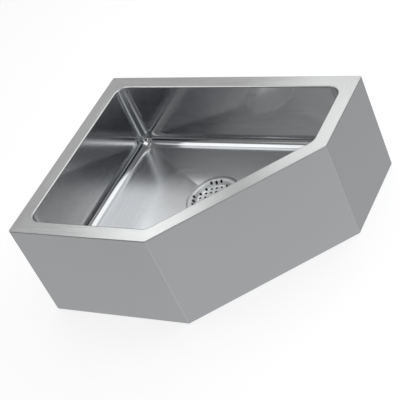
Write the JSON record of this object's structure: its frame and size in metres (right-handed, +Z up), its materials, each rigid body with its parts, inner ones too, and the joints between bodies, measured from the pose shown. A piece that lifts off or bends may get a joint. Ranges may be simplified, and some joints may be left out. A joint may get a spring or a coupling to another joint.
{
  "type": "mop service sink",
  "caption": "Floor-standing corner mop sink in brushed stainless sheet, with a clipped front corner, a coved bowl, closed skirts and a lift-out perforated strainer over its waste outlet.",
  "frame": {"origin": "on the floor, under the middle of the plan's outer rectangle", "axes": "+Z up; +X along the rear wall, from the left wall to the open right side; +Y back to the rear wall; the clipped corner is at +X -Y"},
  "size_m": [0.711, 0.559, 0.28],
  "materials": {
    "satin_steel": "satin, fine grain",
    "drain_steel": "turned, bright",
    "strainer_steel": "pressed, bright",
    "plain_steel": "plain drawn",
    "galvanised_steel": "galvanised",
    "black_rubber": "matte",
    "friction_fibre": "pressed fibre",
    "damping_mastic": "matte mastic"
  },
  "bodies": {
    "sink": {"bowl": "satin_steel", "top_rim": "satin_steel", "front_apron": "satin_steel", "left_side_panel": "satin_steel", "back_panel": "satin_steel", "side_bearer": "galvanised_steel", "corner_bearer": "galvanised_steel", "side_bearer_tape": "black_rubber", "corner_bearer_tape": "black_rubber", "bearer_studs": "plain_steel", "bearer_washers": "galvanised_steel", "bearer_nuts": "galvanised_steel", "left_damping_pad": "damping_mastic", "rear_damping_pad": "damping_mastic", "right_damping_pad": "damping_mastic", "drain_body": "drain_steel", "flange_gasket": "black_rubber", "drain_washer": "black_rubber", "friction_ring": "friction_fibre", "lock_nut": "galvanised_steel", "pipe_seal": "black_rubber"},
    "strainer": {"strainer_cup": "strainer_steel"}
  },
  "joints": [
    {"name": "strainer_lift", "type": "slide", "parent": "sink", "child": "strainer", "axis": [0, 0, 1], "range_m": [0, 0.25]}
  ]
}
